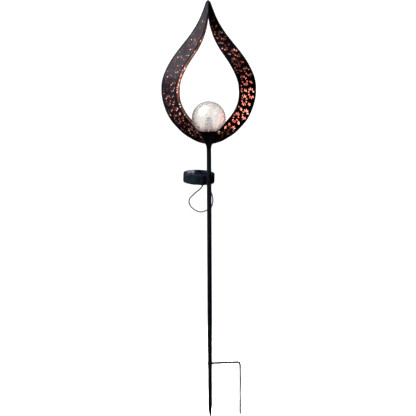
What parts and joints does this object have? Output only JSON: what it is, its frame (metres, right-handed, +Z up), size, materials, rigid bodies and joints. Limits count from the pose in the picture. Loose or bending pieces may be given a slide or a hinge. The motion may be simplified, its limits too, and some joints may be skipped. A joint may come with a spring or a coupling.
{
  "type": "garden stake light",
  "caption": "Flame-shaped pierced metal head around a glass globe lamp, on a two-part stake pole with a step-in foot and a tilting solar drum.",
  "frame": {"origin": "on the stake's axis at ground level, at the lower edge of the rolled bead that carries the step-in foot", "axes": "+Z up along the pole, the head's front faces -Y, the step-in foot points to +X"},
  "size_m": [0.2226, 0.1332, 1.002],
  "materials": {
    "black_steel": "semi-gloss black powder coat",
    "zinc_steel": "zinc plated",
    "plated_steel": "plated",
    "black_plastic": "moulded gloss black",
    "black_rubber": "matt",
    "cable_sleeve": "soft plastic sleeve",
    "crackle_glass": "crackled clear",
    "frosted_plastic": "frosted diffuser",
    "clear_plastic": "clear lens",
    "circuit_green": "solder mask",
    "window_plastic": "clear cover",
    "solar_blue": "solar cell",
    "battery_wrap": "shrink wrap"
  },
  "bodies": {
    "lower_stake": {"lower_tube": "black_steel", "step_foot": "black_steel", "foot_weld": "black_steel"},
    "pole_coupler": {"pole_coupler": "zinc_steel"},
    "upper_section": {"upper_tube": "black_steel", "cable_grommet": "black_rubber", "pole_wire": "cable_sleeve", "front_panel": "black_steel", "back_panel": "black_steel", "outer_rim": "black_steel", "front_inner_rim": "black_steel", "back_inner_rim": "black_steel", "lamp_cup": "black_plastic", "lamp_base": "black_plastic", "base_seal": "black_rubber", "base_screws": "plated_steel", "glass_globe": "crackle_glass", "led_dome": "frosted_plastic", "led_board": "circuit_green", "led_lamps": "clear_plastic", "panel_bracket": "black_steel", "bracket_screws": "plated_steel"},
    "solar_unit": {"solar_base": "black_plastic", "solar_top_cover": "black_plastic", "solar_window": "window_plastic", "solar_cell": "solar_blue", "housing_seal": "black_rubber", "circuit_board": "circuit_green", "battery": "battery_wrap", "battery_contacts": "plated_steel", "battery_door": "black_plastic", "battery_door_screws": "plated_steel", "housing_screws": "plated_steel", "cable_gland": "black_rubber", "switch_body": "black_plastic", "tilt_bolt": "plated_steel", "tilt_nut": "plated_steel", "panel_cable": "cable_sleeve"},
    "power_slider": {"switch_slider": "black_plastic"}
  },
  "joints": [
    {"name": "pole_pull_apart", "type": "slide", "parent": "lower_stake", "child": "pole_coupler", "axis": [0, 0, 1], "range_m": [0, 0.04]},
    {"name": "pole_turn", "type": "hinge", "parent": "pole_coupler", "child": "upper_section", "pos_m": [0, 0, 0.27], "axis": [0, 0, 1], "continuous": true},
    {"name": "panel_tilt", "type": "hinge", "parent": "upper_section", "child": "solar_unit", "pos_m": [-0.00555, 0.00961, 0.4495], "axis": [-0.866, -0.5, 0], "range_deg": [-20, 30], "deforming": ["panel_cable"]},
    {"name": "power_switch", "type": "slide", "parent": "solar_unit", "child": "power_slider", "axis": [-0.866, -0.5, 0], "range_m": [0, 0.003]}
  ]
}
